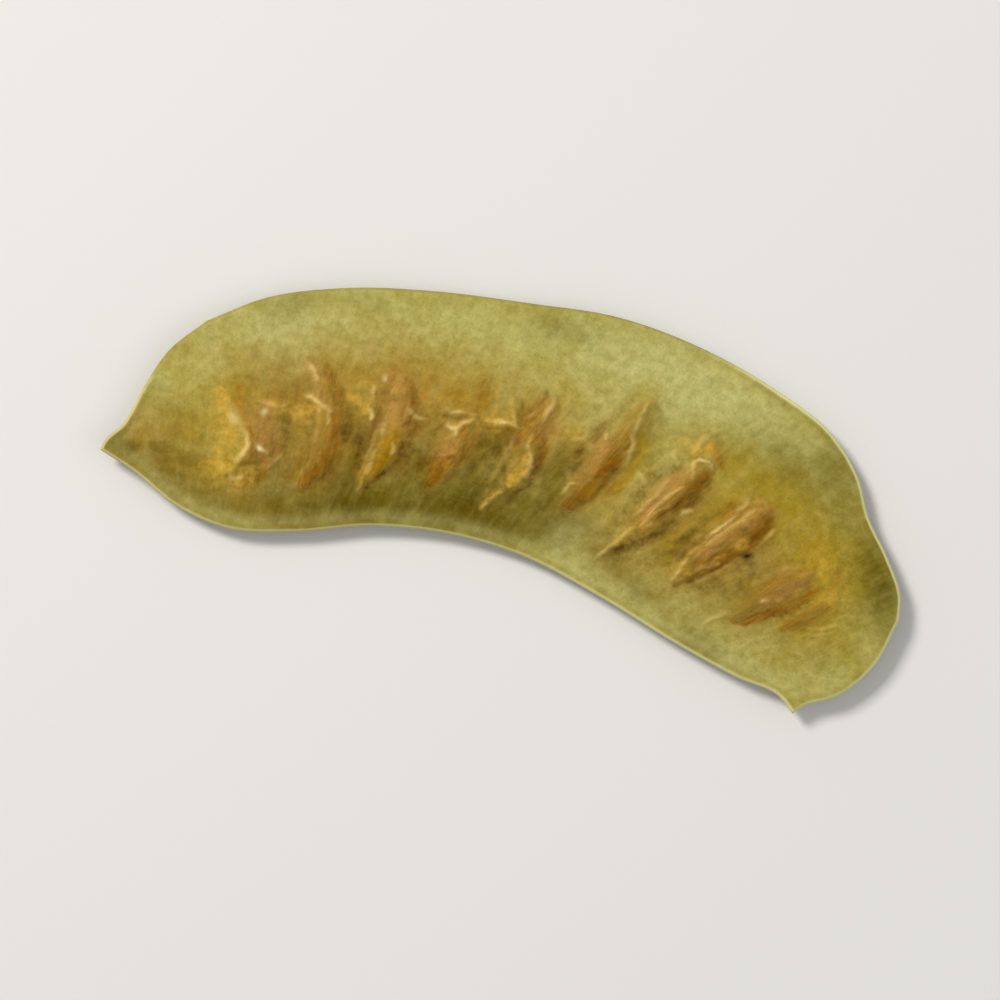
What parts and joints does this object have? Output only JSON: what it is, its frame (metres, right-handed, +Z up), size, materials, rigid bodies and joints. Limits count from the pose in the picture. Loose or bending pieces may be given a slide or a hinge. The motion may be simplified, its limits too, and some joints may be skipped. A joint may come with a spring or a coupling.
{
  "type": "senna pod",
  "caption": "Dried flat kidney-shaped seed pod with papery walls, slanting ridges over the hidden seeds and a fine cord along its edge, lying on its side as a prop or sample.",
  "frame": {"origin": "centre of the pod's box seen from above, on the surface it lies on", "axes": "+X along the pod towards its blunt end, +Y across it towards its convex edge, +Z up through its thickness"},
  "size_m": [0.056, 0.0228, 0.003],
  "materials": {
    "pod": "dry papery pod wall, matt to satin, yellow-green with brown seed ridges"
  },
  "bodies": {
    "root": {"pod": "pod"}
  },
  "joints": []
}
